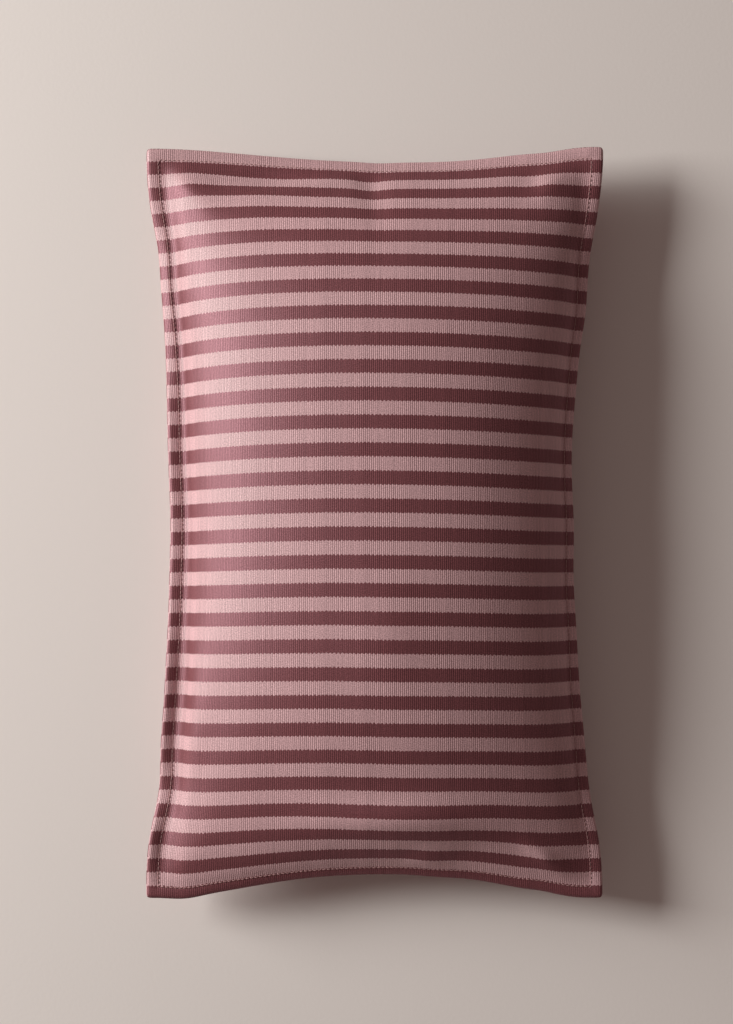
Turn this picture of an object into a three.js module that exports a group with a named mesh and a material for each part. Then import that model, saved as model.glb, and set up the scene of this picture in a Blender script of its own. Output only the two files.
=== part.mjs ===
// A filled rectangular cushion in a striped rib-weave cover with a narrow top-stitched flange.
// It lies on its back. Units are millimetres and +Z is up. The origin is on the surface it lies on,
// under the middle. +Y is the long way, towards the end with the pale edge stripe.
import * as THREE from "three";

// Driving sizes, of the sewn cover laid flat and of the cushion as it lies filled.
const COVER_WIDTH = 302;
const COVER_LENGTH = 496;
const FLANGE_WIDTH = 8; // from the outer edge in to the top-stitching
const FLANGE_THICKNESS = 3; // two panels and their two turned-in allowances
const FLANGE_ROUNDING = 0.9; // how far in the folded edge is rounded
const SEWING_GAP = 0.3; // clearance between the two solids along the top-stitching
const FRONT_RISE = 45; // crown above the seam's own height, in the middle of the front
const BACK_FALL = 78; // crown below the seam before the surface flattens it
const CONTACT_SOFTNESS = 11; // height over which the back rolls onto the surface
const CONTACT_LEVEL = 0.6; // cloth of the back that would be lower than this lies flat on the surface

// How the two crowns fall from the middle to the seam, across and along the cushion.
const ACROSS = {
  left: { power: 2, fullness: 0.5, hollow: 5.5 }, // the crown starts this far in from the stitching
  right: { power: 2.1, fullness: 0.6, hollow: 1 },
};
const TOE = 0.12; // how softly it starts
const ALONG = {
  back: { power: 3.9, fullness: 0.98 },
  front: { power: 3.4, fullness: 0.79 },
};
const CROWN_SKEW = 0.1; // how far the crown is pushed towards the +Y end, as a share of the half-length

// Each side of the outline: how far filling draws it in at its deepest point, where along the side that
// point is (-1 to 1), how the draw fades to the corners, the seam's height above the surface there, and
// the flange's tilt there in degrees (negative where it droops). The back side is the +Y end.
const SIDES = {
  left: { drawnIn: 15.3, deepestAt: 0.01, power: 3.2, fade: 2, seamHeight: 30, tilt: 1 },
  right: { drawnIn: 20.6, deepestAt: 0, power: 2.4, fade: 1.6, seamHeight: 41, tilt: -46 },
  back: { drawnIn: 8.8, deepestAt: 0.18, power: 2.3, fade: 2.1, seamHeight: 28, tilt: -34 },
  front: { drawnIn: 15.7, deepestAt: 0.08, power: 2.5, fade: 2.3, seamHeight: 35, tilt: -43 },
};

// Where a stretch of the flange bends further up or down: place along the side, degrees, half-width.
const BENDS = {
  left: [
    { at: 0.66, degrees: -33, width: 0.2 },
    { at: 0.42, degrees: -9, width: 0.08 },
    { at: 0.18, degrees: 8, width: 0.09 },
    { at: -0.5, degrees: 23, width: 0.24 },
    { at: -0.74, degrees: -18, width: 0.07 },
    { at: -0.92, degrees: 33, width: 0.1 },
  ],
  right: [],
  back: [],
  front: [],
};

// Small waves of the outline, where the flange puckers: place along the side (-1 to 1), how far the edge
// moves in there (negative for out), and the wave's half-width as a share of the half-side.
const WAVES = {
  left: [
    { at: 0.75, inward: 1.6, width: 0.09 },
    { at: 0.3, inward: -1, width: 0.2 },
    { at: -0.02, inward: 0.8, width: 0.12 },
    { at: -0.38, inward: -0.4, width: 0.1 },
    { at: -0.74, inward: 2.5, width: 0.1 },
  ],
  right: [
    { at: 0.73, inward: 1.1, width: 0.08 },
    { at: 0.56, inward: -1.1, width: 0.07 },
    { at: 0.19, inward: 1, width: 0.14 },
    { at: -0.03, inward: -1, width: 0.1 },
    { at: -0.31, inward: -0.9, width: 0.12 },
    { at: -0.74, inward: 1.6, width: 0.12 },
    { at: -0.88, inward: -0.6, width: 0.07 },
  ],
  back: [
    { at: 0.02, inward: 0.7, width: 0.08 },
    { at: 0.8, inward: 1.2, width: 0.1 },
  ],
  front: [
    { at: -0.87, inward: -1.4, width: 0.09 },
    { at: 0.29, inward: -1, width: 0.12 },
    { at: 0.78, inward: 1.2, width: 0.09 },
  ],
};

// Height of the seam above the surface at each corner.
const CORNER_HEIGHTS = { leftBack: 27, rightBack: 34, leftFront: 29, rightFront: 29 };

// Main folds of the front: middle of the fold, heading of its length in degrees from +X, half-length,
// half-width, and height of the ridge (negative for a trough).
const FOLDS = [
  { name: "left back puff", x: -128, y: 228, heading: -45, length: 24, width: 10, height: 3.8 },
  { name: "left back trough", x: -72, y: 227, heading: -4, length: 34, width: 8, height: -5 },
  { name: "right back trough", x: 138, y: 223, heading: 88, length: 20, width: 4.5, height: -4 },
  { name: "right back ridge", x: 118, y: 226, heading: 60, length: 18, width: 8, height: 2.5 },
  { name: "back pucker", x: -4, y: 226, heading: -82, length: 24, width: 9, height: -3 },
  { name: "back dimple", x: 102, y: 229, heading: 80, length: 14, width: 8, height: -1.5 },
  { name: "front bulge", x: 16, y: -194, heading: 0, length: 62, width: 15, height: 9 },
  { name: "right front ridge", x: 117, y: -224, heading: -34, length: 22, width: 8, height: 3.5 },
  { name: "right front crease", x: 111, y: -218, heading: -37, length: 16, width: 4.5, height: 2 },
  { name: "front pucker", x: 34, y: -224, heading: 85, length: 16, width: 12, height: 2.2 },
  { name: "left front puff", x: -124, y: -221, heading: 45, length: 22, width: 9, height: 1 },
  { name: "left roll", x: -120, y: -130, heading: 88, length: 45, width: 9, height: 3 },
  { name: "left valley", x: -123.5, y: -112, heading: 88, length: 44, width: 4, height: -5 },
  { name: "middle swell", x: 6, y: -75, heading: 90, length: 40, width: 22, height: 1.6 },
];
const FOLD_FADE = 6; // folds die out where the crown is lower than this

// Mesh steps across and along each panel.
const STEPS_ACROSS = 34;
const STEPS_ALONG = 52;

// The names of the sides nearest to (a, b).
function nearestSides(a, b) {
  return { sideX: a < 0 ? "left" : "right", sideY: b < 0 ? "front" : "back" };
}

// How far a side is drawn in at a place along it, from -1 to 1.
function drawnIn(name, along) {
  const side = SIDES[name];
  const reach = along < side.deepestAt ? -1 : 1;
  const share = (along - side.deepestAt) / (reach - side.deepestAt);
  let sum = side.drawnIn * Math.max(0, 1 - share ** side.power) ** side.fade;
  for (const wave of WAVES[name]) {
    sum += wave.inward * Math.exp(-(((along - wave.at) / wave.width) ** 2));
  }
  return sum;
}

// The flange's tilt at a place along a side, in radians. It is level at the corners.
function tilt(name, along) {
  let sum = SIDES[name].tilt * (1 - along ** 2);
  for (const bend of BENDS[name]) {
    sum += bend.degrees * Math.exp(-(((along - bend.at) / bend.width) ** 2)) * (1 - along ** 8);
  }
  return THREE.MathUtils.degToRad(sum);
}

// Plan position of the point at (a, b) of the cover inside a line parallel to its edge.
// a and b run from -1 to 1 across and along, inset is the distance in from the edge along the flange,
// and gap is a further level distance in.
function plan(a, b, inset, gap = 0) {
  const { sideX, sideY } = nearestSides(a, b);
  const fromSide = drawnIn(sideX, b) + inset * Math.cos(tilt(sideX, b)) + gap;
  const fromEnd = drawnIn(sideY, a) + inset * Math.cos(tilt(sideY, a)) + gap;
  return { x: a * (COVER_WIDTH / 2 - fromSide), y: b * (COVER_LENGTH / 2 - fromEnd) };
}

// Height of the seam line, carried smoothly across the whole cushion from its four sides.
function seamHeight(a, b) {
  const { left, right, back, front } = SIDES;
  const bend = (middle, from, to, t) =>
    middle + ((to - from) / 2) * t + ((from + to) / 2 - middle) * t ** 2;
  const { leftBack, rightBack, leftFront, rightFront } = CORNER_HEIGHTS;
  const acrossPart = THREE.MathUtils.lerp(
    bend(left.seamHeight, leftFront, leftBack, b),
    bend(right.seamHeight, rightFront, rightBack, b),
    (1 + a) / 2,
  );
  const alongPart = THREE.MathUtils.lerp(
    bend(front.seamHeight, leftFront, rightFront, a),
    bend(back.seamHeight, leftBack, rightBack, a),
    (1 + b) / 2,
  );
  const cornerPart = THREE.MathUtils.lerp(
    THREE.MathUtils.lerp(leftFront, leftBack, (1 + b) / 2),
    THREE.MathUtils.lerp(rightFront, rightBack, (1 + b) / 2),
    (1 + a) / 2,
  );
  return acrossPart + alongPart - cornerPart;
}

// Share of the full crown at (a, b), 1 in the middle and 0 at the seam.
function crown(a, b) {
  const fall = (t, { power, fullness }) => Math.max(0, 1 - Math.abs(t) ** power) ** fullness;
  const side = a < 0 ? ACROSS.left : ACROSS.right;
  const fromMiddle = Math.abs(a) * (1 + side.hollow / (COVER_WIDTH / 2 - FLANGE_WIDTH));
  const across = (Math.hypot(fall(fromMiddle, side), TOE) - TOE) / (Math.hypot(1, TOE) - TOE);
  const skewed = b - CROWN_SKEW * (1 - b ** 2);
  return across * fall(skewed, skewed < 0 ? ALONG.front : ALONG.back);
}

// Height that the main folds add to the front at a plan position.
function foldHeight(x, y) {
  let sum = 0;
  for (const fold of FOLDS) {
    const heading = THREE.MathUtils.degToRad(fold.heading);
    const dx = x - fold.x;
    const dy = y - fold.y;
    const lengthwise = (dx * Math.cos(heading) + dy * Math.sin(heading)) / fold.length;
    const sideways = (dy * Math.cos(heading) - dx * Math.sin(heading)) / fold.width;
    sum += fold.height * Math.exp(-(lengthwise ** 2) - sideways ** 2);
  }
  return sum;
}

// Height of the back: it rolls onto the surface and lies flat there.
function restingHeight(free) {
  if (free >= CONTACT_SOFTNESS) return free;
  if (free <= -CONTACT_SOFTNESS) return 0;
  const rolled = (free + CONTACT_SOFTNESS) ** 2 / (4 * CONTACT_SOFTNESS);
  return rolled < CONTACT_LEVEL ? 0 : rolled;
}

function frontPoint(a, b) {
  const { x, y } = plan(a, b, FLANGE_WIDTH, SEWING_GAP);
  const rise = FRONT_RISE * crown(a, b);
  const folds = foldHeight(x, y) * Math.min(1, rise / FOLD_FADE);
  return new THREE.Vector3(x, y, seamHeight(a, b) + FLANGE_THICKNESS / 2 + rise + folds);
}

function backPoint(a, b) {
  const { x, y } = plan(a, b, FLANGE_WIDTH, SEWING_GAP);
  const free = seamHeight(a, b) - FLANGE_THICKNESS / 2 - BACK_FALL * crown(a, b);
  return new THREE.Vector3(x, y, restingHeight(free));
}

// A place on the flange: inset is the distance in from its outer edge, offset the distance off its middle.
// Its section leans over with its tilt, from upright at the top-stitching.
function flangePoint(a, b, inset, offset) {
  const { sideX, sideY } = nearestSides(a, b);
  const onSide = Math.abs(a) === 1;
  const angle = onSide ? tilt(sideX, b) : tilt(sideY, a);
  const outwards = FLANGE_WIDTH - inset;
  const lean = angle * (outwards / FLANGE_WIDTH);
  const point = plan(a, b, inset);
  const shift = -offset * Math.sin(lean);
  if (onSide) point.x += Math.sign(a) * shift;
  else point.y += Math.sign(b) * shift;
  const height = seamHeight(a, b) + outwards * Math.sin(angle) + offset * Math.cos(lean);
  return new THREE.Vector3(point.x, point.y, height);
}

// Places from -1 to 1, closer together towards the ends, where the crown is steep.
function spread(steps) {
  return Array.from({ length: steps + 1 }, (_, i) => Math.sin((Math.PI / 2) * ((2 * i) / steps - 1)));
}

// The border of the (a, b) square, anticlockwise seen from above, as grid indices.
function borderLoop(across, along) {
  const loop = [];
  for (let i = 0; i < across; i++) loop.push([i, 0]);
  for (let j = 0; j < along; j++) loop.push([across, j]);
  for (let i = across; i > 0; i--) loop.push([i, along]);
  for (let j = along; j > 0; j--) loop.push([0, j]);
  return loop;
}

function geometryFrom(points, faces) {
  const geometry = new THREE.BufferGeometry().setFromPoints(points);
  geometry.setIndex(faces.flat());
  geometry.computeVertexNormals();
  return geometry;
}

// The filled body: front grid, back grid, and a narrow wall between them along the top-stitching.
function bodyGeometry() {
  const as = spread(STEPS_ACROSS);
  const bs = spread(STEPS_ALONG);
  const row = STEPS_ACROSS + 1;
  const sheet = row * (STEPS_ALONG + 1);
  const front = (i, j) => j * row + i;
  const back = (i, j) => sheet + front(i, j);
  const points = [];
  for (const place of [frontPoint, backPoint]) {
    for (const b of bs) for (const a of as) points.push(place(a, b));
  }
  const faces = [];
  for (let j = 0; j < STEPS_ALONG; j++) {
    for (let i = 0; i < STEPS_ACROSS; i++) {
      faces.push([front(i, j), front(i + 1, j), front(i + 1, j + 1)]);
      faces.push([front(i, j), front(i + 1, j + 1), front(i, j + 1)]);
      faces.push([back(i, j), back(i + 1, j + 1), back(i + 1, j)]);
      faces.push([back(i, j), back(i, j + 1), back(i + 1, j + 1)]);
    }
  }
  const loop = borderLoop(STEPS_ACROSS, STEPS_ALONG);
  loop.forEach(([i, j], k) => {
    const [iNext, jNext] = loop[(k + 1) % loop.length];
    faces.push([front(i, j), back(i, j), back(iNext, jNext)]);
    faces.push([front(i, j), back(iNext, jNext), front(iNext, jNext)]);
  });
  return geometryFrom(points, faces);
}

// The flange: one section, swept round the border with mitred corners and a rounded folded edge.
function flangeGeometry() {
  const half = FLANGE_THICKNESS / 2;
  const section = [
    { inset: FLANGE_WIDTH, offset: half },
    { inset: FLANGE_WIDTH, offset: -half },
    { inset: FLANGE_ROUNDING, offset: -half },
    { inset: 0, offset: -half / 2 },
    { inset: 0, offset: half / 2 },
    { inset: FLANGE_ROUNDING, offset: half },
  ];
  const as = spread(STEPS_ACROSS);
  const bs = spread(STEPS_ALONG);
  const loop = borderLoop(STEPS_ACROSS, STEPS_ALONG);
  const points = loop.flatMap(([i, j]) =>
    section.map(({ inset, offset }) => flangePoint(as[i], bs[j], inset, offset)),
  );
  const faces = [];
  const at = (k, m) => (k % loop.length) * section.length + (m % section.length);
  for (let k = 0; k < loop.length; k++) {
    for (let m = 0; m < section.length; m++) {
      faces.push([at(k, m), at(k + 1, m + 1), at(k, m + 1)]);
      faces.push([at(k, m), at(k + 1, m), at(k + 1, m + 1)]);
    }
  }
  return geometryFrom(points, faces);
}

// Matt woven cotton, in the two stripe colours' mean on the body and the darker one on the flange.
function cotton(colour) {
  return new THREE.MeshStandardMaterial({ color: colour, roughness: 0.9, metalness: 0 });
}

const filledBody = new THREE.Mesh(bodyGeometry(), cotton("#a97a80"));
filledBody.name = "cushion";
const border = new THREE.Mesh(flangeGeometry(), cotton("#8a555c"));
border.name = "flange";

const cushion = new THREE.Group();
cushion.add(filledBody, border);

export default cushion;
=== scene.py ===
"""A plump oblong cushion in a striped rib-weave cotton cover, lying on its back on a pale surface.

The cover is two panels sewn together, turned out and top-stitched a little way in, so that a narrow
flange of doubled cloth runs round the filled part. All sizes are in millimetres until a mesh is made.
"""

import math

import bpy
import numpy as np
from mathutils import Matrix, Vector


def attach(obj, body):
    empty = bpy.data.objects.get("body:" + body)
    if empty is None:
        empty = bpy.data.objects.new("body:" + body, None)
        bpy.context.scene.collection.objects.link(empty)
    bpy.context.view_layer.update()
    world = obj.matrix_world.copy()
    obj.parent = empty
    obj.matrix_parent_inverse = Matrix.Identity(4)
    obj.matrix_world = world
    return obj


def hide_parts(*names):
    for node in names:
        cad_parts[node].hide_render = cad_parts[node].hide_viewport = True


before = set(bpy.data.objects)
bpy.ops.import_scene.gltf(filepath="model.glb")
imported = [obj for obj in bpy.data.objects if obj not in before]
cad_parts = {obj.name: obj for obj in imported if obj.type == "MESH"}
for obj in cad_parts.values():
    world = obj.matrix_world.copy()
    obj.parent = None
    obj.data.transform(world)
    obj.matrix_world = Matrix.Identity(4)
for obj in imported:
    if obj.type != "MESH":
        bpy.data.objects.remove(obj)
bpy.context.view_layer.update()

MM = 0.001

# The cover laid flat, its flange and its crown: the same sizes as the part's solids.
COVER_WIDTH = 302
COVER_LENGTH = 496
FLANGE_WIDTH = 8
FLANGE_THICKNESS = 3
FRONT_RISE = 45
BACK_FALL = 78
CONTACT_SOFTNESS = 11
CONTACT_LEVEL = 0.6  # cloth of the back that would be lower than this lies flat on the surface
ACROSS = {
    "left": {"power": 2, "fullness": 0.5, "hollow": 5.5},  # hollow: how far in from the stitching it starts
    "right": {"power": 2.1, "fullness": 0.6, "hollow": 1},
}
TOE = 0.12  # how softly it starts
ALONG = {"back": {"power": 3.9, "fullness": 0.98}, "front": {"power": 3.4, "fullness": 0.79}}
CROWN_SKEW = 0.1  # how far the crown is pushed towards the back edge, of the half-length

# How far the cloth has crept towards the back edge half-way along: at the sides, and further in the
# middle.
SIDE_CREEP = 3.2
MIDDLE_CREEP = 3.6

# Each side: how far filling draws it in, where along it (-1 to 1) that is deepest, how the draw fades to
# the corners, the seam's height there, and how the flange tilts there, in degrees.
SIDES = {
    "left": dict(drawn_in=15.3, deepest_at=0.01, power=3.2, fade=2, seam_height=30, tilt=1),
    "right": dict(drawn_in=20.6, deepest_at=0, power=2.4, fade=1.6, seam_height=41, tilt=-46),
    "back": dict(drawn_in=8.8, deepest_at=0.18, power=2.3, fade=2.1, seam_height=28, tilt=-34),
    "front": dict(drawn_in=15.7, deepest_at=0.08, power=2.5, fade=2.3, seam_height=35, tilt=-43),
}

# Small waves of the outline: place along the side, how far the edge moves in, half-width of the wave.
WAVES = {
    "left": [
        (0.75, 1.6, 0.09),
        (0.3, -1, 0.2),
        (-0.02, 0.8, 0.12),
        (-0.38, -0.4, 0.1),
        (-0.74, 2.5, 0.1),
    ],
    "right": [
        (0.73, 1.1, 0.08),
        (0.56, -1.1, 0.07),
        (0.19, 1, 0.14),
        (-0.03, -1, 0.1),
        (-0.31, -0.9, 0.12),
        (-0.74, 1.6, 0.12),
        (-0.88, -0.6, 0.07),
    ],
    "back": [(0.02, 0.7, 0.08), (0.8, 1.2, 0.1)],
    "front": [(-0.87, -1.4, 0.09), (0.29, -1, 0.12), (0.78, 1.2, 0.09)],
}

# Where a stretch of the flange bends further: place along the side, degrees up, half-width of the bend.
BENDS = {
    "left": [
        (0.66, -33, 0.2),
        (0.42, -9, 0.08),
        (0.18, 8, 0.09),
        (-0.5, 23, 0.24),
        (-0.74, -18, 0.07),
        (-0.92, 33, 0.1),
    ],
    "right": [],
    "back": [],
    "front": [],
}

# Height of the seam line at each corner.
LEFT_BACK, RIGHT_BACK, LEFT_FRONT, RIGHT_FRONT = 27, 34, 29, 29

# Main folds of the front: x, y, heading in degrees from +X, half-length, half-width, height.
FOLDS = {
    "left back puff": (-128, 228, -45, 24, 10, 3.8),
    "left back trough": (-72, 227, -4, 34, 8, -5),
    "right back trough": (138, 223, 88, 20, 4.5, -4),
    "right back ridge": (118, 226, 60, 18, 8, 2.5),
    "back pucker": (-4, 226, -82, 24, 9, -3),
    "back dimple": (102, 229, 80, 14, 8, -1.5),
    "front bulge": (16, -194, 0, 62, 15, 9),
    "right front ridge": (117, -224, -34, 22, 8, 3.5),
    "right front crease": (111, -218, -37, 16, 4.5, 2),
    "front pucker": (34, -224, 85, 16, 12, 2.2),
    "left front puff": (-124, -221, 45, 22, 9, 1),
    "left roll": (-120, -130, 88, 45, 9, 3),
    "left valley": (-123.5, -112, 88, 44, 4, -5),
    "middle swell": (6, -75, 90, 40, 22, 1.6),
}
FOLD_FADE = 6  # folds die out where the crown is lower than this

# Section of the flange from the top-stitching out: distance in from the edge, height off its middle.
STITCH_DEPTH = 0.6  # how far the stitches pull each panel in
FLANGE_SECTION = [
    (FLANGE_WIDTH, FLANGE_THICKNESS / 2 - STITCH_DEPTH),
    (7.2, 1.35),
    (5, 1.5),
    (2.6, 1.5),
    (1.4, 1.25),
    (0.6, 0.7),
    (0, 0.2),
]
SEAM_INSET = 0.5  # the two folded edges part this far in, where the panels are sewn

# How far the back's folded edge shows past the front's on each side.
EDGE_ROLL = {"left": 0.5, "right": 0.2, "back": 0.3, "front": 0.8}
ROLL_REACH = 3  # how far in the front's cloth is moved by that
CORNER_RADIUS = 3

# Cells of the settled cloth between the rows of top-stitching, about 4 mm each way.
CELLS_ACROSS = 72
CELLS_ALONG = 120
SETTLING = [(4, 300), (2, 200), (1, 120)]  # how much coarser each grid is, and its passes
THREAD_PULL = 0.9  # share of its stretch that a thread takes back in one pass
BIAS_PULL = 0.15  # the same across the cell's corners, where woven cloth gives
GUESSES_WHILE_SETTLING = 2  # each one brings the place that is worked out on the cover closer
GUESSES_AT_END = 4

# The filling pushes the settled cloth out in a short simulation. No point may move further than this.
PUFF_FRAMES = 20
PUFF_PRESSURE = 4
PUFF_LIMIT = 6

# The weave: stripes of weft across a warp of fat cords, which stand up as ribs along the cushion.
STRIPE = 248 / 28
RIB_PITCH = 1.28
RIB_HEIGHT = 0.17
PICK_PITCH = 0.62
PICK_HEIGHT = 0.03
TOOTH = 0.34  # how far a colour steps up or down from rib to rib at a stripe's edge
STRIPE_SHARPNESS = 9  # how quickly one colour gives way to the other
FUZZ_HEIGHT = 0.08  # short fibres that stand off the yarn
DRIFT = 1.2  # how far a cord may wander off its line

# Texture scales, larger for finer: the cords' wander, slubs across and along, fibres, plies and grain.
DRIFT_FINENESS = 14
SLUB_FINENESS = (1300, 1500, 1)
FUZZ_FINENESS = 2500
PLY_FINENESS = 900
GRAIN_FINENESS = 400

# Top-stitching.
STITCH_PITCH = 3
STITCH_LENGTH = 2.3
THREAD_DIAMETER = 0.45
STITCH_LIFT = 0.5  # from the sewn row's points out to where the thread lies

# Finishes, as sRGB hex.
PALE_PINK = "#cfa8ac"
DUSKY_WINE = "#713e42"
PALE_GLOSS = "#27302f"
WINE_GLOSS = "#544247"
ROOM_GLOW = "#ffddd4"
THREAD_PINK = "#bb9493"
PALE_SURFACE = "#eeebe7"
WINDOW_WHITE = "#fffaf6"

# One soft key light, low on the left and turned a little to the cushion's back edge. Metres and watts.
KEY_DISTANCE = 2.6
KEY_ELEVATION = math.radians(24.5)
KEY_TURN = math.radians(16)
KEY_SIZE = 1.1
KEY_WATTS = 86
KEY_AIM = (0, 0, 0.05)
ROOM_STRENGTH = 0.15

# The photo's frame and where its camera stood: pixels, and millimetres from the cushion's middle.
PHOTO_WIDTH = 733
PHOTO_HEIGHT = 1024
CUSHION_MIDDLE_PX = (374.3, 523)
PIXELS_PER_MM = 1.514  # at the height of the corners
CORNER_LEVEL = 30
CAMERA_DISTANCE = 1500
CAMERA_FOOT = (-5, -7)


def drawn_in(name, along):
    """How far a side is drawn in at places along it, from -1 to 1."""
    side = SIDES[name]
    end = np.where(along < side["deepest_at"], -1.0, 1.0)
    share = np.abs((along - side["deepest_at"]) / (end - side["deepest_at"]))
    total = side["drawn_in"] * np.maximum(0, 1 - share ** side["power"]) ** side["fade"]
    for at, inward, width in WAVES[name]:
        total = total + inward * np.exp(-(((along - at) / width) ** 2))
    return total


def tilt(name, along):
    """The flange's tilt at places along a side, in radians: it is level at the corners."""
    total = SIDES[name]["tilt"] * (1 - along**2)
    for at, degrees, width in BENDS[name]:
        total = total + degrees * np.exp(-(((along - at) / width) ** 2)) * (1 - along**8)
    return np.radians(total)


def reach(name, along, inset):
    """Plan distance from the corner-to-corner line in to a place on the flange."""
    return drawn_in(name, along) + inset * np.cos(tilt(name, along))


def plan(a, b, inset):
    """Plan position of points (a, b) of the cover, each from -1 to 1, inside the flange."""
    from_side = np.where(a < 0, reach("left", b, inset), reach("right", b, inset))
    from_end = np.where(b < 0, reach("front", a, inset), reach("back", a, inset))
    return a * (COVER_WIDTH / 2 - from_side), b * (COVER_LENGTH / 2 - from_end) + SIDE_CREEP * (1 - b**2)


def bend(middle, start, end, at):
    """A parabola through start at -1, middle at 0 and end at 1."""
    return middle + (end - start) / 2 * at + ((start + end) / 2 - middle) * at**2


def blend(start, end, at):
    return start + (end - start) * (1 + at) / 2


def seam_height(a, b):
    """Height of the seam line, carried across the whole cushion."""
    left, right, back, front = (side["seam_height"] for side in SIDES.values())
    across = blend(bend(left, LEFT_FRONT, LEFT_BACK, b), bend(right, RIGHT_FRONT, RIGHT_BACK, b), a)
    along = blend(bend(front, LEFT_FRONT, RIGHT_FRONT, a), bend(back, LEFT_BACK, RIGHT_BACK, a), b)
    corners = blend(blend(LEFT_FRONT, LEFT_BACK, b), blend(RIGHT_FRONT, RIGHT_BACK, b), a)
    return across + along - corners


def crown(a, b):
    """Share of the full crown at (a, b)."""
    rises = []
    for side in (ACROSS["left"], ACROSS["right"]):
        from_middle = np.minimum(1, np.abs(a) * (1 + side["hollow"] / (COVER_WIDTH / 2 - FLANGE_WIDTH)))
        rises.append((1 - from_middle ** side["power"]) ** side["fullness"])
    across = (np.hypot(np.where(a < 0, *rises), TOE) - TOE) / (math.hypot(1, TOE) - TOE)
    b = b - CROWN_SKEW * (1 - b**2)
    front, back = (np.maximum(0, 1 - np.abs(b) ** end["power"]) ** end["fullness"] for end in
                   (ALONG["front"], ALONG["back"]))
    return across * np.where(b < 0, front, back)


def fold_height(x, y):
    """Height that the main folds add to the front."""
    total = 0
    for fold_x, fold_y, heading, length, width, height in FOLDS.values():
        c, s = math.cos(math.radians(heading)), math.sin(math.radians(heading))
        lengthwise = ((x - fold_x) * c + (y - fold_y) * s) / length
        sideways = ((y - fold_y) * c - (x - fold_x) * s) / width
        total = total + height * np.exp(-(lengthwise**2) - sideways**2)
    return total


def front_height(x, y, a, b):
    rise = FRONT_RISE * crown(a, b)
    folds = fold_height(x, y) * np.minimum(1, rise / FOLD_FADE)
    return seam_height(a, b) + FLANGE_THICKNESS / 2 - STITCH_DEPTH + rise + folds


def back_height(x, y, a, b):
    free = seam_height(a, b) - FLANGE_THICKNESS / 2 + STITCH_DEPTH - BACK_FALL * crown(a, b)
    rolled = (np.maximum(free, -CONTACT_SOFTNESS) + CONTACT_SOFTNESS) ** 2 / (4 * CONTACT_SOFTNESS)
    rolled = np.where(rolled < CONTACT_LEVEL, 0, rolled)
    return np.where(free >= CONTACT_SOFTNESS, free, rolled)


def cover_place(x, y, a, b):
    """The (a, b) of plan positions inside the top-stitching, from a guess that one pass improves."""
    from_side = np.where(x < 0, reach("left", b, FLANGE_WIDTH), reach("right", b, FLANGE_WIDTH))
    from_end = np.where(y < 0, reach("front", a, FLANGE_WIDTH), reach("back", a, FLANGE_WIDTH))
    return (
        np.clip(x / (COVER_WIDTH / 2 - from_side), -1, 1),
        np.clip((y - SIDE_CREEP * (1 - b**2)) / (COVER_LENGTH / 2 - from_end), -1, 1),
    )


def pairs(cells_across, cells_along, step_across, step_along):
    """Neighbours in the cloth's grid, in sets that share no point: one end, other end, length, pull."""
    sets = []
    everything = slice(None)
    diagonal = math.hypot(step_across, step_along)
    for start in (0, 1):
        count = (cells_across + 1 - start) // 2
        one, other = slice(start, start + 2 * count, 2), slice(start + 1, start + 1 + 2 * count, 2)
        sets.append(((one, everything), (other, everything), step_across, THREAD_PULL))
        sets.append(((one, slice(0, -1)), (other, slice(1, None)), diagonal, BIAS_PULL))
        sets.append(((one, slice(1, None)), (other, slice(0, -1)), diagonal, BIAS_PULL))
        count = (cells_along + 1 - start) // 2
        one, other = slice(start, start + 2 * count, 2), slice(start + 1, start + 1 + 2 * count, 2)
        sets.append(((everything, one), (everything, other), step_along, THREAD_PULL))
    return sets


def refine(values, old_across, old_along, across, along):
    """Values of a coarse grid at the points of a finer one."""
    rows = np.array([np.interp(along, old_along, row) for row in values])
    return np.array([np.interp(across, old_across, column) for column in rows.T]).T


def settle_panel(height):
    """Spreads a panel over a crown so that its threads keep their length, first coarse and then fine."""
    half_width = COVER_WIDTH / 2 - FLANGE_WIDTH
    half_length = COVER_LENGTH / 2 - FLANGE_WIDTH
    shift_x = shift_y = None
    for divisor, passes in SETTLING:
        cells_across, cells_along = CELLS_ACROSS // divisor, CELLS_ALONG // divisor
        across = np.linspace(-half_width, half_width, cells_across + 1)
        along = np.linspace(-half_length, half_length, cells_along + 1)
        grid_across, grid_along = np.meshgrid(across, along, indexing="ij")
        a, b = grid_across / half_width, grid_along / half_length
        flat_x, flat_y = plan(a, b, FLANGE_WIDTH)
        x, y = flat_x.copy(), flat_y.copy()
        if shift_x is not None:
            x += refine(shift_x, old_across, old_along, across, along)
            y += refine(shift_y, old_across, old_along, across, along)
        free = np.ones_like(x)
        free[0] = free[-1] = free[:, 0] = free[:, -1] = 0
        sets = pairs(cells_across, cells_along, across[1] - across[0], along[1] - along[0])
        for _ in range(passes):
            for _ in range(GUESSES_WHILE_SETTLING):
                a, b = cover_place(x, y, a, b)
            z = height(x, y, a, b)
            for one, other, rest, pull in sets:
                dx, dy, dz = x[other] - x[one], y[other] - y[one], z[other] - z[one]
                length = np.sqrt(dx**2 + dy**2 + dz**2)
                loose = np.maximum(free[one] + free[other], 1)
                move = pull * (length - rest) / length / loose
                x[one] += free[one] * move * dx
                y[one] += free[one] * move * dy
                x[other] -= free[other] * move * dx
                y[other] -= free[other] * move * dy
        shift_x, shift_y, old_across, old_along = x - flat_x, y - flat_y, across, along
    y += MIDDLE_CREEP * (1 - (grid_across / half_width) ** 2) * (1 - (grid_along / half_length) ** 2)
    for _ in range(GUESSES_AT_END):
        a, b = cover_place(x, y, a, b)
    return x, y, height(x, y, a, b)


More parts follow.
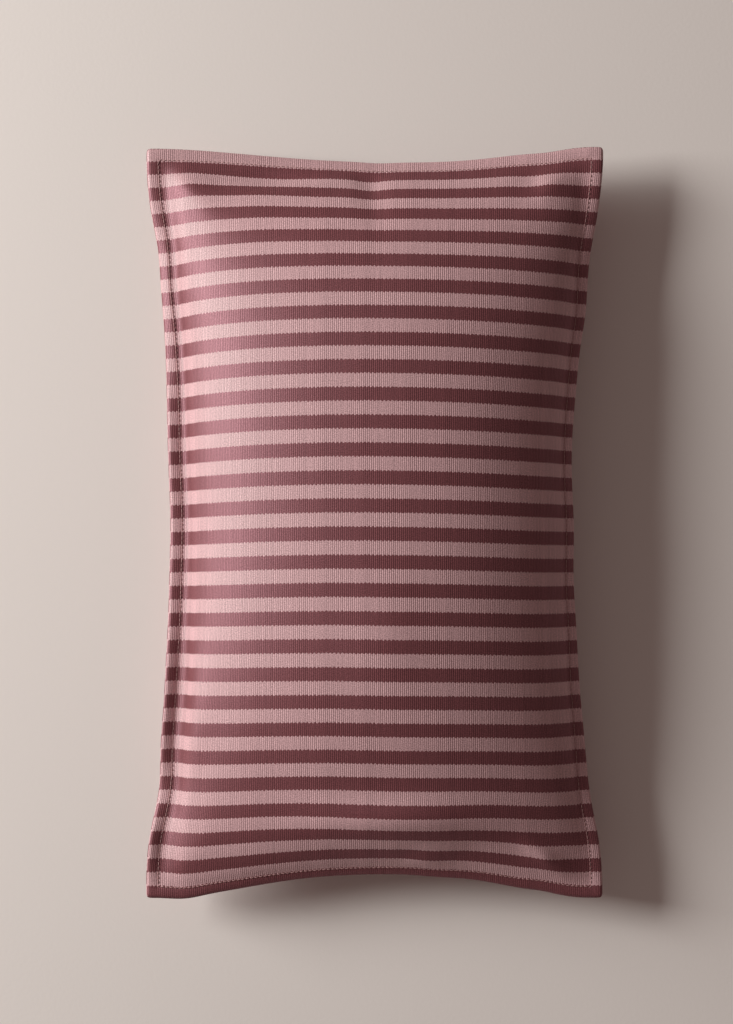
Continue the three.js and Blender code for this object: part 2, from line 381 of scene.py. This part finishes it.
def pattern_lines(half, cells):
    """Lines of a panel's flat pattern in one direction, from edge to edge, through the flange."""
    rim = [half - inset for inset, _ in FLANGE_SECTION[1:]]
    inner = np.linspace(-half + FLANGE_WIDTH, half - FLANGE_WIDTH, cells + 1)
    return np.concatenate([[-place for place in reversed(rim)], inner, rim])


def on_flange(s, t, height, rolled):
    """Place of flange points: s, t are on the flat pattern, height is off the flange's middle, and the
    outer edge of a rolled one is further in."""
    half_width, half_length = COVER_WIDTH / 2, COVER_LENGTH / 2
    a = np.clip(s / (half_width - FLANGE_WIDTH), -1, 1)
    b = np.clip(t / (half_length - FLANGE_WIDTH), -1, 1)
    seam_x, seam_y = plan(a, b, FLANGE_WIDTH)
    inset_s, inset_t = half_width - np.abs(s), half_length - np.abs(t)
    corner_s, corner_t = CORNER_RADIUS - inset_s, CORNER_RADIUS - inset_t
    in_corner = (corner_s > 0) & (corner_t > 0)
    far = np.where(in_corner, np.maximum(corner_s, corner_t) / np.hypot(corner_s, corner_t), 1)
    inset_s = np.where(in_corner, CORNER_RADIUS - corner_s * far, inset_s)
    inset_t = np.where(in_corner, CORNER_RADIUS - corner_t * far, inset_t)
    roll_s = rolled * np.where(s < 0, EDGE_ROLL["left"], EDGE_ROLL["right"])
    roll_t = rolled * np.where(t < 0, EDGE_ROLL["front"], EDGE_ROLL["back"])
    out_s = np.maximum(0, FLANGE_WIDTH - inset_s - roll_s * np.clip(1 - inset_s / ROLL_REACH, 0, 1))
    out_t = np.maximum(0, FLANGE_WIDTH - inset_t - roll_t * np.clip(1 - inset_t / ROLL_REACH, 0, 1))
    tilt_s = np.where(s < 0, tilt("left", b), tilt("right", b)) * (out_s > 0)
    tilt_t = np.where(t < 0, tilt("front", a), tilt("back", a)) * (out_t > 0)
    x = seam_x + np.sign(s) * (out_s * np.cos(tilt_s) - height * np.sin(tilt_s))
    y = seam_y + np.sign(t) * (out_t * np.cos(tilt_t) - height * np.sin(tilt_t))
    level = height * np.cos(tilt_s) * np.cos(tilt_t)
    z = seam_height(a, b) + out_s * np.sin(tilt_s) + out_t * np.sin(tilt_t) + level
    return np.stack([x, y, z], axis=-1)


def border_loop(rows, columns):
    """Indices round the border of a grid, anticlockwise seen from above."""
    loop = [(i, 0) for i in range(rows - 1)]
    loop += [(rows - 1, j) for j in range(columns - 1)]
    loop += [(i, columns - 1) for i in range(rows - 1, 0, -1)]
    loop += [(0, j) for j in range(columns - 1, 0, -1)]
    return loop


def panel(s, t, height, side):
    """Points of one panel, settled over its crown inside the top-stitching and flat outside it."""
    inset = np.minimum(COVER_WIDTH / 2 - np.abs(s), COVER_LENGTH / 2 - np.abs(t))
    insets, heights = zip(*sorted(FLANGE_SECTION))
    points = on_flange(s, t, side * np.interp(inset, insets, heights), rolled=side > 0)
    rim = len(FLANGE_SECTION) - 1
    settled = np.stack(settle_panel(height), axis=-1)
    points[rim + 1 : -rim - 1, rim + 1 : -rim - 1] = settled[1:-1, 1:-1]
    return points


def cover_mesh():
    """The closed cover: both panels and the sewn edge between them. Returns the object, its points on the
    flat pattern, which of them are held, and the top-stitching's points on each panel."""
    lines_s = pattern_lines(COVER_WIDTH / 2, CELLS_ACROSS)
    lines_t = pattern_lines(COVER_LENGTH / 2, CELLS_ALONG)
    s, t = np.meshgrid(lines_s, lines_t, indexing="ij")
    front = panel(s, t, front_height, 1)
    back = panel(s, t, back_height, -1)
    rows, columns = s.shape
    count = rows * columns
    loop = border_loop(rows, columns)
    loop_s = np.array([s[place] for place in loop])
    loop_t = np.array([t[place] for place in loop])
    pulled_s = np.clip(loop_s, -COVER_WIDTH / 2 + SEAM_INSET, COVER_WIDTH / 2 - SEAM_INSET)
    pulled_t = np.clip(loop_t, -COVER_LENGTH / 2 + SEAM_INSET, COVER_LENGTH / 2 - SEAM_INSET)
    seam = on_flange(pulled_s, pulled_t, np.zeros(len(loop)), rolled=True)
    points = np.concatenate([front.reshape(-1, 3), back.reshape(-1, 3), seam])
    flat_front = np.stack([s, t, np.full_like(s, FLANGE_THICKNESS / 2)], axis=-1).reshape(-1, 3)
    flat_back = flat_front * (1, 1, -1)
    flat_seam = np.stack([pulled_s, pulled_t, np.zeros(len(loop))], axis=-1)
    flat = np.concatenate([flat_front, flat_back, flat_seam])

    def at(i, j):
        return i * columns + j

    quads, cloth = [], []
    for i in range(rows - 1):
        for j in range(columns - 1):
            corners = [at(i, j), at(i + 1, j), at(i + 1, j + 1), at(i, j + 1)]
            places = [(s.flat[k], t.flat[k]) for k in corners]
            quads.append(corners)
            cloth += places
            quads.append([count + k for k in reversed(corners)])
            cloth += [(place[0], -place[1]) for place in reversed(places)]
    beyond = 1 + 2 * SEAM_INSET / COVER_WIDTH
    for k, place in enumerate(loop):
        after = (k + 1) % len(loop)
        here, there = at(*place), at(*loop[after])
        seam_here, seam_there = 2 * count + k, 2 * count + after
        near = [(s.flat[n], t.flat[n]) for n in (here, there)]
        far = [(across * beyond, along * beyond) for across, along in near]
        quads.append([here, seam_here, seam_there, there])
        cloth += [near[0], far[0], far[1], near[1]]
        quads.append([count + there, seam_there, seam_here, count + here])
        cloth += [(across, -along) for across, along in (near[1], far[1], far[0], near[0])]
    mesh = bpy.data.meshes.new("cushion_cover")
    mesh.from_pydata((points * MM).tolist(), [], quads)
    mesh.uv_layers.new(name="cloth").uv.foreach_set("vector", np.array(cloth).ravel() * MM)
    mesh.shade_smooth()
    cover = bpy.data.objects.new("cushion_cover", mesh)
    bpy.context.collection.objects.link(cover)

    rim = len(FLANGE_SECTION) - 1
    inside = np.zeros((rows, columns), bool)
    inside[rim + 2 : -rim - 2, rim + 2 : -rim - 2] = True
    resting = inside & (back[..., 2] > CONTACT_LEVEL)
    held = np.concatenate([~inside.ravel(), ~resting.ravel(), np.ones(len(loop), bool)])
    row = [(i + rim, j + rim) for i, j in border_loop(rows - 2 * rim, columns - 2 * rim)]
    stitching = [at(*place) for place in row], [count + at(*place) for place in row]
    return cover, flat, held, stitching


def puff(cover, flat, held):
    """Lets pressure push the cloth out from its settled shape, up to a limit, with the rest held."""
    start = np.empty(len(cover.data.vertices) * 3)
    cover.data.vertices.foreach_get("co", start)
    cover.shape_key_add(name="settled")
    pattern = cover.shape_key_add(name="pattern")
    pattern.data.foreach_set("co", (flat * MM).ravel())
    group = cover.vertex_groups.new(name="held")
    group.add(np.flatnonzero(held).tolist(), 1, "REPLACE")
    cloth = cover.modifiers.new("filling", "CLOTH")
    settings = cloth.settings
    settings.quality = 8
    settings.mass = 0.15
    settings.tension_stiffness = settings.compression_stiffness = 30
    settings.shear_stiffness = 10
    settings.bending_stiffness = 4
    settings.use_pressure = True
    settings.uniform_pressure_force = PUFF_PRESSURE
    settings.effector_weights.gravity = 0
    settings.vertex_group_mass = group.name
    settings.rest_shape_key = pattern
    for step in range(1, PUFF_FRAMES + 1):
        bpy.context.scene.frame_set(step)
    puffed = np.empty_like(start)
    settled = cover.evaluated_get(bpy.context.evaluated_depsgraph_get())
    settled.data.vertices.foreach_get("co", puffed)
    bpy.context.scene.frame_set(1)
    cover.modifiers.remove(cloth)
    cover.shape_key_clear()
    cover.vertex_groups.remove(group)
    start, puffed = start.reshape(-1, 3), puffed.reshape(-1, 3)
    move = puffed - start
    distance = np.linalg.norm(move, axis=1, keepdims=True)
    limit = PUFF_LIMIT * MM
    move *= limit * np.tanh(distance / limit) / np.maximum(distance, limit * MM)
    result = start + move
    result[:, 2] = np.maximum(result[:, 2], 0)
    cover.data.vertices.foreach_set("co", result.ravel())
    cover.data.update()


def linear(code):
    """Linear RGBA from an sRGB hex value."""
    channels = [int(code[k : k + 2], 16) / 255 for k in (1, 3, 5)]
    return [c / 12.92 if c <= 0.04045 else ((c + 0.055) / 1.055) ** 2.4 for c in channels] + [1]


def add(tree, kind, inputs=None, **settings):
    """Adds a node: inputs maps a socket's name or number to a value, a socket, or a node, which stands for
    its first output."""
    node = tree.nodes.new(kind)
    for name, value in settings.items():
        setattr(node, name, value)
    for key, value in (inputs or {}).items():
        if isinstance(value, bpy.types.Node):
            value = value.outputs[0]
        if isinstance(value, bpy.types.NodeSocket):
            tree.links.new(value, node.inputs[key])
        else:
            node.inputs[key].default_value = value
    return node


def new_material(name):
    material = bpy.data.materials.new(name)
    material.use_nodes = True
    material.node_tree.nodes.clear()
    return material, material.node_tree


def striped_cotton():
    """Rib-weave cotton: fine weft in two colours beaten down over fat warp cords. To the eye it is matt,
    with straight cords along the cushion, small teeth where the colours meet, and a broad soft lustre
    that keeps the colour of the dye."""
    material, tree = new_material("ribbed cotton")
    uv = add(tree, "ShaderNodeUVMap", uv_map="cloth")
    place = add(tree, "ShaderNodeSeparateXYZ", {0: uv})
    across, along = place.outputs["X"], place.outputs["Y"]

    # The cords wander a little, and no two are quite alike.
    drift = add(tree, "ShaderNodeTexNoise", {"Vector": uv, "Scale": DRIFT_FINENESS, "Detail": 1})
    drift = add(tree, "ShaderNodeMath", {0: drift, 1: 0.5}, operation="SUBTRACT")
    wander = add(tree, "ShaderNodeMath", {0: drift, 1: DRIFT * MM, 2: across}, operation="MULTIPLY_ADD")
    cords = add(tree, "ShaderNodeMath", {0: wander, 1: RIB_PITCH * MM}, operation="DIVIDE")
    cord = add(tree, "ShaderNodeMath", {0: cords}, operation="FLOOR")
    chance = add(tree, "ShaderNodeTexWhiteNoise", {"W": cord}, noise_dimensions="1D")
    phase = add(tree, "ShaderNodeMath", {0: cords, 1: math.pi}, operation="MULTIPLY")
    swing = add(tree, "ShaderNodeMath", {0: phase}, operation="SINE")
    ridge = add(tree, "ShaderNodeMath", {0: swing}, operation="ABSOLUTE")

    # Weft picks lie across each cord, half a pick on from one cord to the next.
    step = add(tree, "ShaderNodeMath", {0: cord, 1: 2}, operation="FLOORED_MODULO")
    pick_turns = 2 * math.pi / (PICK_PITCH * MM)
    picks = add(tree, "ShaderNodeMath", {0: along, 1: pick_turns}, operation="MULTIPLY")
    picks = add(tree, "ShaderNodeMath", {0: step, 1: math.pi, 2: picks}, operation="MULTIPLY_ADD")
    pick = add(tree, "ShaderNodeMath", {0: picks}, operation="SINE")

    # Stripes: the colour steps up and down from cord to cord at a stripe's edge.
    tooth = add(tree, "ShaderNodeMath", {0: swing, 1: TOOTH * MM, 2: along}, operation="MULTIPLY_ADD")
    odd = add(tree, "ShaderNodeMath", {0: chance, 1: TOOTH * MM, 2: tooth}, operation="MULTIPLY_ADD")
    turns = add(tree, "ShaderNodeMath", {0: odd, 1: math.pi / (STRIPE * MM)}, operation="MULTIPLY")
    bands = add(tree, "ShaderNodeMath", {0: turns}, operation="SINE")
    dark = add(
        tree,
        "ShaderNodeMath",
        {0: bands, 1: STRIPE_SHARPNESS, 2: 0.5},
        operation="MULTIPLY_ADD",
        use_clamp=True,
    )
    dyed = add(
        tree,
        "ShaderNodeMix",
        {"Factor": dark, "A": linear(PALE_PINK), "B": linear(DUSKY_WINE)},
        data_type="RGBA",
    )

    # Shade is painted into the colour between the cords, deeper on the dark stripes. Yarn takes dye
    # unevenly, in short slubs and from cord to cord.
    slubs = add(tree, "ShaderNodeMapping", {"Vector": uv, "Scale": SLUB_FINENESS})
    slubs = add(tree, "ShaderNodeTexNoise", {"Vector": slubs, "Scale": 1, "Detail": 2, "Roughness": 0.6})
    slub = add(
        tree,
        "ShaderNodeMapRange",
        {"Value": slubs, "From Min": 0.25, "From Max": 0.75, "To Min": 0.55, "To Max": 1.45},
    )
    dye = add(tree, "ShaderNodeMapRange", {"Value": chance, "To Min": 0.93, "To Max": 1.07})
    deepest = add(tree, "ShaderNodeMath", {0: dark, 1: -0.17, 2: 0.82}, operation="MULTIPLY_ADD")
    # Painted shade: the colour is darkened in the grooves between the cords, down to deepest at the groove.
    hollow = add(
        tree,
        "ShaderNodeMapRange",
        {"Value": ridge, "From Max": 0.6, "To Min": deepest, "To Max": 1},
    )
    # Uneven dye from the slubs and from cord to cord, times the painted shade between the cords.
    dye_tone_and_painted_shade = add(tree, "ShaderNodeMath", {0: slub, 1: dye}, operation="MULTIPLY")
    dye_tone_and_painted_shade = add(tree, "ShaderNodeMath", {0: dye_tone_and_painted_shade, 1: hollow}, operation="MULTIPLY")
    dyed_yarn = dyed.outputs["Result"]
    colour = add(tree, "ShaderNodeVectorMath", {0: dyed_yarn, "Scale": dye_tone_and_painted_shade}, operation="SCALE")

    # Light that glances off dyed yarn keeps some of its colour.
    gloss = add(
        tree,
        "ShaderNodeMix",
        {"Factor": dark, "A": linear(PALE_GLOSS), "B": linear(WINE_GLOSS)},
        data_type="RGBA",
    )

    fuzz = add(tree, "ShaderNodeTexNoise", {"Vector": uv, "Scale": FUZZ_FINENESS, "Detail": 2})
    relief = add(tree, "ShaderNodeMath", {0: ridge, 1: RIB_HEIGHT * MM}, operation="MULTIPLY")
    for height, size in ((pick, PICK_HEIGHT), (fuzz, FUZZ_HEIGHT)):
        relief = add(tree, "ShaderNodeMath", {0: height, 1: size * MM, 2: relief}, operation="MULTIPLY_ADD")
    bump = add(tree, "ShaderNodeBump", {"Height": relief, "Distance": 1, "Strength": 1})
    surface = add(
        tree,
        "ShaderNodeBsdfPrincipled",
        {
            "Base Color": colour,
            "Roughness": 0.9,
            "Specular IOR Level": 0.2,
            "Normal": bump,
        },
    )
    soft_bump = add(tree, "ShaderNodeBump", {"Height": relief, "Distance": 1, "Strength": 0.35})
    glossy_yarn = gloss.outputs["Result"]
    # The lustre is darkened by the same uneven dye and by the painted shade between the cords.
    bright = add(tree, "ShaderNodeVectorMath", {0: glossy_yarn, "Scale": dye_tone_and_painted_shade}, operation="SCALE")
    lustre = add(
        tree,
        "ShaderNodeBsdfAnisotropic",
        {"Color": bright, "Roughness": 0.48, "Normal": soft_bump},
    )
    both = add(tree, "ShaderNodeAddShader", {0: surface, 1: lustre})
    add(tree, "ShaderNodeOutputMaterial", {"Surface": both})
    return material


def sewing_thread():
    """Spun polyester sewing thread: two plies twisted together, slightly glossier than the cotton."""
    material, tree = new_material("sewing thread")
    places = add(tree, "ShaderNodeTexCoord")
    plies = add(
        tree,
        "ShaderNodeTexWave",
        {"Vector": places.outputs["Object"], "Scale": PLY_FINENESS},
        bands_direction="DIAGONAL",
    )
    bump = add(tree, "ShaderNodeBump", {"Height": plies.outputs["Fac"], "Distance": 0.05 * MM})
    surface = add(
        tree,
        "ShaderNodeBsdfPrincipled",
        {"Base Color": linear(THREAD_PINK), "Roughness": 0.6, "Sheen Weight": 0.1, "Normal": bump},
    )
    add(tree, "ShaderNodeOutputMaterial", {"Surface": surface})
    return material


def matt_surface():
    """Matt painted board: even, pale and plain."""
    material, tree = new_material("matt painted board")
    places = add(tree, "ShaderNodeTexCoord")
    spot = places.outputs["Object"]
    grain = add(tree, "ShaderNodeTexNoise", {"Vector": spot, "Scale": GRAIN_FINENESS, "Detail": 3})
    bump = add(tree, "ShaderNodeBump", {"Height": grain, "Distance": 0.05 * MM})
    surface = add(
        tree,
        "ShaderNodeBsdfPrincipled",
        {"Base Color": linear(PALE_SURFACE), "Roughness": 0.9, "Specular IOR Level": 0.2, "Normal": bump},
    )
    add(tree, "ShaderNodeOutputMaterial", {"Surface": surface})
    return material


def stitching_tree(thread):
    """Geometry Nodes: evenly spaced stitches along a row, each a short arch of thread."""
    tree = bpy.data.node_groups.new("top-stitching", "GeometryNodeTree")
    face = tree.interface
    face.new_socket("Row", in_out="INPUT", socket_type="NodeSocketGeometry")
    for name in ("Pitch", "Length", "Diameter"):
        face.new_socket(name, in_out="INPUT", socket_type="NodeSocketFloat")
    face.new_socket("Stitches", in_out="OUTPUT", socket_type="NodeSocketGeometry")
    entry = add(tree, "NodeGroupInput")
    row, pitch, length, diameter = (entry.outputs[name] for name in ("Row", "Pitch", "Length", "Diameter"))

    path = add(tree, "GeometryNodeMeshToCurve", {"Mesh": row})
    spots = add(tree, "GeometryNodeResampleCurve", {"Curve": path, "Length": pitch}, mode="LENGTH")
    half = add(tree, "ShaderNodeMath", {0: length, 1: 0.5}, operation="MULTIPLY")
    back_half = add(tree, "ShaderNodeMath", {0: length, 1: -0.5}, operation="MULTIPLY")
    sunk = add(tree, "ShaderNodeMath", {0: diameter, 1: -0.9}, operation="MULTIPLY")
    top = add(tree, "ShaderNodeMath", {0: diameter, 1: 1.1}, operation="MULTIPLY")
    start = add(tree, "ShaderNodeCombineXYZ", {"X": back_half, "Z": sunk})
    middle = add(tree, "ShaderNodeCombineXYZ", {"Z": top})
    end = add(tree, "ShaderNodeCombineXYZ", {"X": half, "Z": sunk})
    arch = add(
        tree,
        "GeometryNodeCurveQuadraticBezier",
        {"Resolution": 6, "Start": start, "Middle": middle, "End": end},
    )
    radius = add(tree, "ShaderNodeMath", {0: diameter, 1: 0.5}, operation="MULTIPLY")
    section = add(
        tree,
        "GeometryNodeCurvePrimitiveCircle",
        {"Resolution": 6, "Radius": radius},
        mode="RADIUS",
    )
    stitch = add(
        tree,
        "GeometryNodeCurveToMesh",
        {"Curve": arch, "Profile Curve": section, "Fill Caps": True},
    )

    heading = add(tree, "GeometryNodeInputTangent")
    outwards = add(
        tree,
        "GeometryNodeInputNamedAttribute",
        {"Name": "outwards"},
        data_type="FLOAT_VECTOR",
    )
    turned = add(
        tree,
        "FunctionNodeAxesToRotation",
        {"Primary Axis": heading, "Secondary Axis": outwards},
        primary_axis="X",
        secondary_axis="Z",
    )
    placed = add(
        tree,
        "GeometryNodeInstanceOnPoints",
        {"Points": spots, "Instance": stitch, "Rotation": turned},
    )
    real = add(tree, "GeometryNodeRealizeInstances", {"Geometry": placed})
    finished = add(tree, "GeometryNodeSetMaterial", {"Geometry": real, "Material": thread})
    smooth = add(tree, "GeometryNodeSetShadeSmooth", {"Geometry": finished})
    add(tree, "NodeGroupOutput", {"Stitches": smooth})
    return tree


def top_stitching(cover, rows, thread):
    """The sewn rows, one on each panel, following the settled cover."""
    points, edges, outwards = [], [], []
    for row in rows:
        first = len(points)
        for k, index in enumerate(row):
            vertex = cover.data.vertices[index]
            points.append(vertex.co + vertex.normal * STITCH_LIFT * MM)
            outwards += list(vertex.normal)
            edges.append((first + k, first + (k + 1) % len(row)))
    mesh = bpy.data.meshes.new("stitch_rows")
    mesh.from_pydata(points, edges, [])
    mesh.attributes.new("outwards", "FLOAT_VECTOR", "POINT").data.foreach_set("vector", outwards)
    rows_object = bpy.data.objects.new("stitch_rows", mesh)
    bpy.context.collection.objects.link(rows_object)
    tree = stitching_tree(thread)
    sewing = rows_object.modifiers.new("sewing", "NODES")
    sewing.node_group = tree
    sizes = {"Pitch": STITCH_PITCH, "Length": STITCH_LENGTH, "Diameter": THREAD_DIAMETER}
    for item in tree.interface.items_tree:
        if item.name in sizes:
            sewing[item.identifier] = sizes[item.name] * MM
    bpy.context.view_layer.update()
    evaluated = rows_object.evaluated_get(bpy.context.evaluated_depsgraph_get())
    sewn = bpy.data.meshes.new_from_object(evaluated)
    bpy.data.objects.remove(rows_object)
    stitches = bpy.data.objects.new("top_stitching", sewn)
    bpy.context.collection.objects.link(stitches)
    return stitches


cotton = striped_cotton()
thread = sewing_thread()

cover, flat, held, stitch_rows = cover_mesh()
puff(cover, flat, held)
cover.data.materials.append(cotton)
stitches = top_stitching(cover, stitch_rows, thread)
rounding = cover.modifiers.new("rounding", "SUBSURF")
rounding.levels = rounding.render_levels = 1

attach(cover, "root")
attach(stitches, "root")
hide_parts("cushion", "flange")

# A plain pale surface, lit softly from the left as the photo is.
bpy.ops.mesh.primitive_plane_add(size=6)
surface = bpy.context.object
surface.name = "pale_surface"
surface.data.materials.append(matt_surface())


def soft_light(name, place, aim, size, watts, colour):
    """A square soft box, facing its aim. Places are in metres."""
    lamp = bpy.data.lights.new(name, "AREA")
    lamp.size = size
    lamp.energy = watts
    lamp.color = linear(colour)[:3]
    box = bpy.data.objects.new(name, lamp)
    box.location = place
    box.rotation_euler = (Vector(aim) - Vector(place)).to_track_quat("-Z", "Y").to_euler()
    bpy.context.collection.objects.link(box)


sideways = KEY_DISTANCE * math.cos(KEY_ELEVATION)
key_place = (
    -sideways * math.cos(KEY_TURN),
    sideways * math.sin(KEY_TURN),
    KEY_DISTANCE * math.sin(KEY_ELEVATION),
)
soft_light("window_light", key_place, KEY_AIM, KEY_SIZE, KEY_WATTS, WINDOW_WHITE)
world = bpy.data.worlds.new("studio")
world.use_nodes = True
world.node_tree.nodes["Background"].inputs["Color"].default_value = linear(ROOM_GLOW)
world.node_tree.nodes["Background"].inputs["Strength"].default_value = ROOM_STRENGTH
bpy.context.scene.world = world
bpy.context.scene.view_settings.view_transform = "Standard"

# The camera looks straight down. Its shift only sets the cushion where the photo has it.
focal_pixels = PIXELS_PER_MM * CAMERA_DISTANCE
lens = bpy.data.cameras.new("camera")
lens.sensor_width = 36
lens.lens = lens.sensor_width * focal_pixels / PHOTO_HEIGHT
axis_px = (
    CUSHION_MIDDLE_PX[0] + CAMERA_FOOT[0] * PIXELS_PER_MM,
    CUSHION_MIDDLE_PX[1] - CAMERA_FOOT[1] * PIXELS_PER_MM,
)
lens.shift_x = (PHOTO_WIDTH / 2 - axis_px[0]) / PHOTO_HEIGHT
lens.shift_y = (axis_px[1] - PHOTO_HEIGHT / 2) / PHOTO_HEIGHT
camera = bpy.data.objects.new("camera", lens)
camera.location = Vector((*CAMERA_FOOT, CAMERA_DISTANCE + CORNER_LEVEL)) * MM
bpy.context.collection.objects.link(camera)
bpy.context.scene.camera = camera
